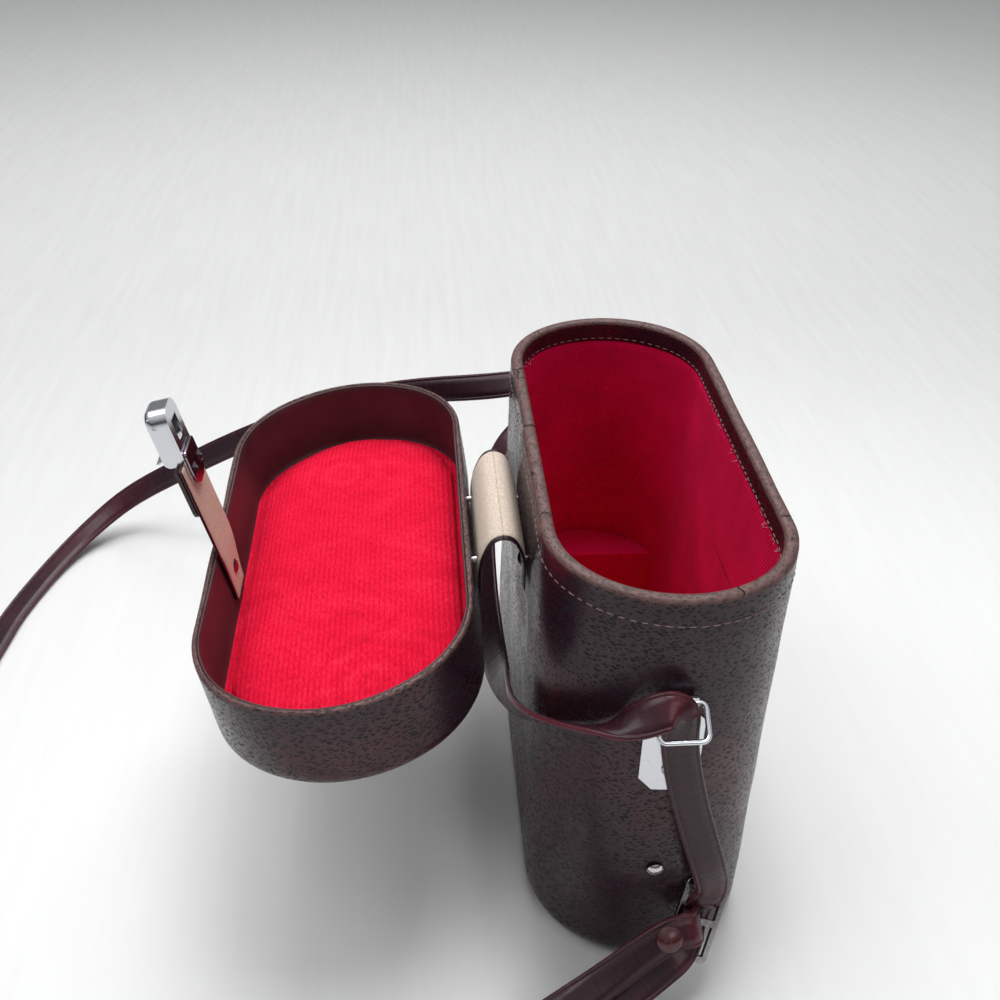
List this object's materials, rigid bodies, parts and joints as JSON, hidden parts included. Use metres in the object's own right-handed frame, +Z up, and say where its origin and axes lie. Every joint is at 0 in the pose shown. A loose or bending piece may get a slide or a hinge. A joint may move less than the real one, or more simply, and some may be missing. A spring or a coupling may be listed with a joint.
{
  "type": "binocular hard case",
  "caption": "Open hard case for binoculars: leathercloth body, padded lid on a leather hinge, sprung clasp, and a shoulder strap on end rings.",
  "frame": {"origin": "middle of the base, on the surface the case stands on", "axes": "+Z up, +X out of the front with the catch, +Y along the case"},
  "size_m": [0.3495, 0.3288, 0.1927],
  "materials": {
    "covering": "glossy embossed leathercloth, dark burgundy brown",
    "board": "raw fibreboard",
    "lining": "red napped lining cloth",
    "lid_facing": "smooth dark red paper-backed cloth",
    "corduroy": "bright red corduroy",
    "hinge_leather": "flesh side of vegetable-tanned leather",
    "clasp_leather": "pinkish flesh side with dark glossy edges",
    "dark_leather": "dark glossy leather",
    "strap_leather": "glossy burgundy strap leather",
    "chrome_metal": "bright nickel-chrome plate",
    "spring_steel": "plain spring steel",
    "cap_enamel": "dark red enamelled cap"
  },
  "bodies": {
    "case": {"case_covering": "covering", "case_board": "board", "case_lining": "lining", "floor_pad": "lining", "end_block_far": "lining", "end_block_near": "lining", "hinge_leaf_case": "hinge_leather", "hinge_rivets_case": "chrome_metal", "hinge_arch": "hinge_leather", "catch_plate": "chrome_metal", "catch_post": "chrome_metal", "catch_rivets": "chrome_metal", "strap_bracket_near": "chrome_metal", "strap_bracket_far": "chrome_metal", "bracket_rivets_near": "chrome_metal", "bracket_rivets_far": "chrome_metal", "end_rivet_near": "chrome_metal", "end_rivet_far": "chrome_metal", "strap_from_buckle": "strap_leather", "strap_on_floor": "strap_leather", "strap_over_shoulder": "strap_leather", "strap_behind_case": "strap_leather", "strap_down_end": "strap_leather", "strap_tail": "strap_leather", "strap_buckle": "chrome_metal", "strap_end_rivet": "cap_enamel"},
    "lid": {"lid_covering": "covering", "lid_board": "board", "lid_facing": "lid_facing", "lid_pad": "corduroy", "lid_pad_board": "board", "hinge_leaf_lid": "hinge_leather", "hinge_rivets_lid": "chrome_metal", "clasp_strap_anchor": "clasp_leather", "clasp_anchor_rivet": "cap_enamel"},
    "clasp": {"clasp_strap": "clasp_leather", "clasp_outer_layer": "covering", "clasp_plate": "chrome_metal", "clasp_tongue": "dark_leather", "clasp_rivets": "chrome_metal", "clasp_housing": "chrome_metal", "clasp_lever_pin": "spring_steel", "clasp_lever_spring": "spring_steel"},
    "lever": {"clasp_lever": "chrome_metal"},
    "near_ring": {"strap_ring_near": "chrome_metal"},
    "far_ring": {"strap_ring_far": "chrome_metal"}
  },
  "joints": [
    {"name": "lid_hinge", "type": "hinge", "parent": "case", "child": "lid", "pos_m": [-0.0569, -0.006, 0.149], "axis": [0, 1, 0], "range_deg": [0, 187.7], "deforming": ["hinge_arch"]},
    {"name": "clasp_strap_bend", "type": "hinge", "parent": "lid", "child": "clasp", "pos_m": [-0.15668, -0.005, 0.12794], "axis": [0, -1, 0], "range_deg": [0, 75]},
    {"name": "lever_press", "type": "hinge", "parent": "clasp", "child": "lever", "pos_m": [-0.17308, -0.005, 0.18524], "axis": [0, -1, 0], "range_deg": [0, 18], "stiffness_Nm_per_rad": 0.03, "springref_deg": -11.46, "deforming": ["clasp_lever_spring"]},
    {"name": "near_ring_swing", "type": "hinge", "parent": "case", "child": "near_ring", "pos_m": [-0.001, -0.10087, 0.131], "axis": [1, 0, 0], "range_deg": [-105, 40], "deforming": ["strap_down_end", "strap_behind_case"]},
    {"name": "far_ring_swing", "type": "hinge", "parent": "case", "child": "far_ring", "pos_m": [-0.001, 0.10087, 0.131], "axis": [-1, 0, 0], "range_deg": [-105, 40], "deforming": ["strap_over_shoulder", "strap_behind_case"]}
  ]
}
